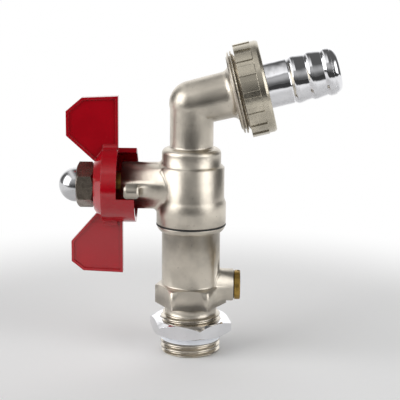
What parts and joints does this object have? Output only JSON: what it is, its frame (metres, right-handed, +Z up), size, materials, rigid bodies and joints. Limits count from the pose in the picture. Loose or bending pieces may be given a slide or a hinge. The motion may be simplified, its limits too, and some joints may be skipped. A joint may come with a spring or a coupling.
{
  "type": "ball valve hose tap",
  "caption": "Angled nickel-plated hose tap with a red T-handle ball valve, check valve, side test plug, lock nut and a barbed hose tail on a union nut.",
  "frame": {"origin": "centre of the inlet thread's end face, on the inlet axis", "axes": "+Z up along the inlet towards the ball chamber, +X towards the hose tail, handle on the -X side"},
  "size_m": [0.0968, 0.0322, 0.1093],
  "materials": {
    "nickel": "nickel-plated brass, shot-blasted satin",
    "nut_nickel": "nickel-plated brass, satin",
    "chrome": "chrome-plated, bright",
    "nut_chrome": "chrome-plated brass, bright",
    "brass": "turned brass",
    "red_paint": "red gloss powder coat",
    "rubber": "black nitrile rubber",
    "white_plastic": "white nylon",
    "seat_plastic": "white sealing plastic",
    "grey_plastic": "pale grey moulded plastic",
    "dark_steel": "zinc-plated steel, darkened",
    "cap_steel": "stainless steel, polished",
    "spring_steel": "stainless spring wire"
  },
  "bodies": {
    "tap": {"tap_body": "nickel", "inlet_body": "nickel", "body_seal_ring": "rubber", "upper_ball_seat": "seat_plastic", "lower_ball_seat": "seat_plastic", "stem_gland": "brass", "test_plug": "brass", "test_plug_o_ring": "rubber", "check_valve_housing": "grey_plastic", "check_valve_guide": "white_plastic", "check_valve_spring": "spring_steel", "check_valve_o_ring": "rubber"},
    "handle": {"handle": "red_paint", "stem": "brass", "stem_thrust_washer": "seat_plastic", "stem_o_ring_inner": "rubber", "stem_o_ring_outer": "rubber", "handle_nut": "dark_steel", "handle_nut_cap": "cap_steel", "handle_nut_insert": "white_plastic"},
    "ball": {"ball": "chrome"},
    "poppet": {"check_valve_poppet": "white_plastic", "poppet_seal": "rubber"},
    "tail": {"hose_tail": "chrome", "union_gasket": "rubber"},
    "union_nut": {"union_nut": "nut_nickel"},
    "sealing_ring": {"sealing_ring": "white_plastic"},
    "lock_nut": {"lock_nut": "nut_chrome"}
  },
  "joints": [
    {"name": "handle_turn", "type": "hinge", "parent": "tap", "child": "handle", "pos_m": [-0.0238, 0, 0.0592], "axis": [1, 0, 0], "range_deg": [0, 90]},
    {"name": "ball_turn", "type": "hinge", "parent": "tap", "child": "ball", "pos_m": [0, 0, 0.0592], "axis": [1, 0, 0], "range_deg": [0, 90]},
    {"name": "poppet_lift", "type": "slide", "parent": "tap", "child": "poppet", "axis": [0, 0, 1], "range_m": [0, 0.003], "stiffness_N_per_m": 40, "springref_m": -0.004, "deforming": ["check_valve_spring"]},
    {"name": "tail_travel", "type": "slide", "parent": "tap", "child": "tail", "axis": [0.9703, 0, 0.2419], "range_m": [0, 0.0033]},
    {"name": "union_nut_turn", "type": "hinge", "parent": "tail", "child": "union_nut", "pos_m": [0.01941, 0, 0.09264], "axis": [0.9703, 0, 0.2419], "range_deg": [0, 650]},
    {"name": "ring_travel", "type": "slide", "parent": "tap", "child": "sealing_ring", "axis": [0, 0, 1], "range_m": [0, 0.0051]},
    {"name": "lock_nut_turn", "type": "hinge", "parent": "sealing_ring", "child": "lock_nut", "pos_m": [0, 0, 0.0096], "axis": [0, 0, 1], "range_deg": [0, 1000]}
  ],
  "couplings": [
    {"joint": "ball_turn", "follows": "handle_turn", "ratio": 1},
    {"joint": "tail_travel", "follows": "union_nut_turn", "m_per_rad": 0.00028875},
    {"joint": "ring_travel", "follows": "lock_nut_turn", "m_per_rad": 0.00028875}
  ]
}
